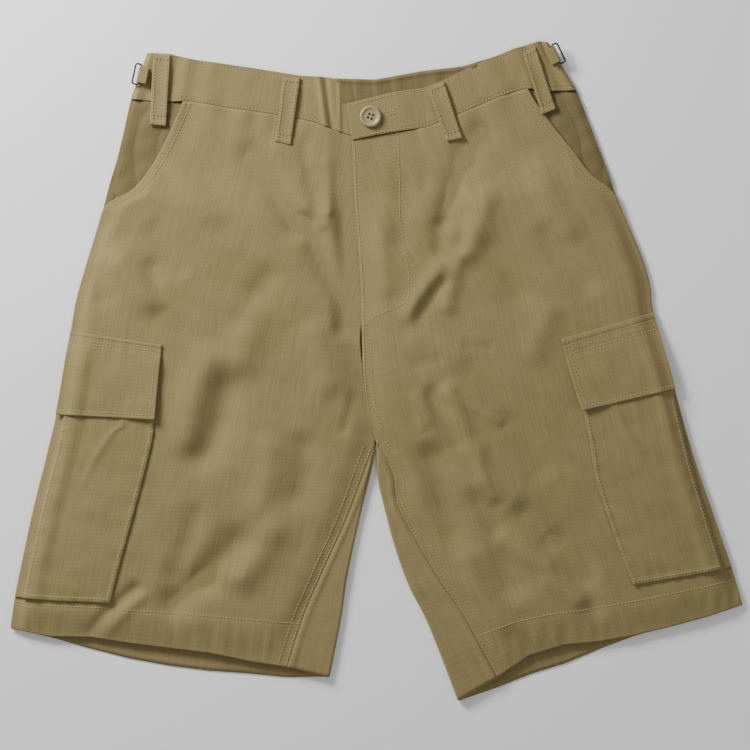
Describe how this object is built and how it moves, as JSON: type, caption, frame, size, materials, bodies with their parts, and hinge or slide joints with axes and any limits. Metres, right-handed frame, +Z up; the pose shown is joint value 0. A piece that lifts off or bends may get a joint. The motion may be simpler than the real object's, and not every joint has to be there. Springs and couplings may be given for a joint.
{
  "type": "cargo shorts",
  "caption": "Cotton ripstop cargo shorts laid flat front side up, with waistband, belt loops, slash pockets, flapped cargo pockets, waist button and side slides.",
  "frame": {"origin": "middle of the underside's bounding box, on the surface that the shorts lie on", "axes": "+X along the widest way across both legs, towards the wearer's left leg; +Y towards the waist; +Z up through the layers, the front side up"},
  "size_m": [0.658, 0.592, 0.0096],
  "materials": {
    "cloth": "khaki cotton ripstop, washed, matt, with a fine woven grid",
    "slide_metal": "blackened steel wire, satin",
    "button": "tan moulded resin, low gloss"
  },
  "bodies": {
    "root": {"front_leg_right": "cloth", "front_leg_left": "cloth", "back_leg_right": "cloth", "back_leg_left": "cloth", "pocket_facing_right": "cloth", "pocket_facing_left": "cloth", "waistband_front_right": "cloth", "waistband_front_left": "cloth", "waistband_back": "cloth", "belt_loop_front_right": "cloth", "belt_loop_front_left": "cloth", "belt_loop_side_right": "cloth", "belt_loop_side_left": "cloth", "cargo_pocket_right": "cloth", "cargo_pocket_left": "cloth", "cargo_gusset_right": "cloth", "cargo_gusset_left": "cloth", "cargo_flap_right": "cloth", "cargo_flap_left": "cloth", "adjuster_tab_right": "cloth", "adjuster_tab_left": "cloth", "adjuster_slide_right": "slide_metal", "adjuster_slide_left": "slide_metal", "waist_button": "button"}
  },
  "joints": []
}
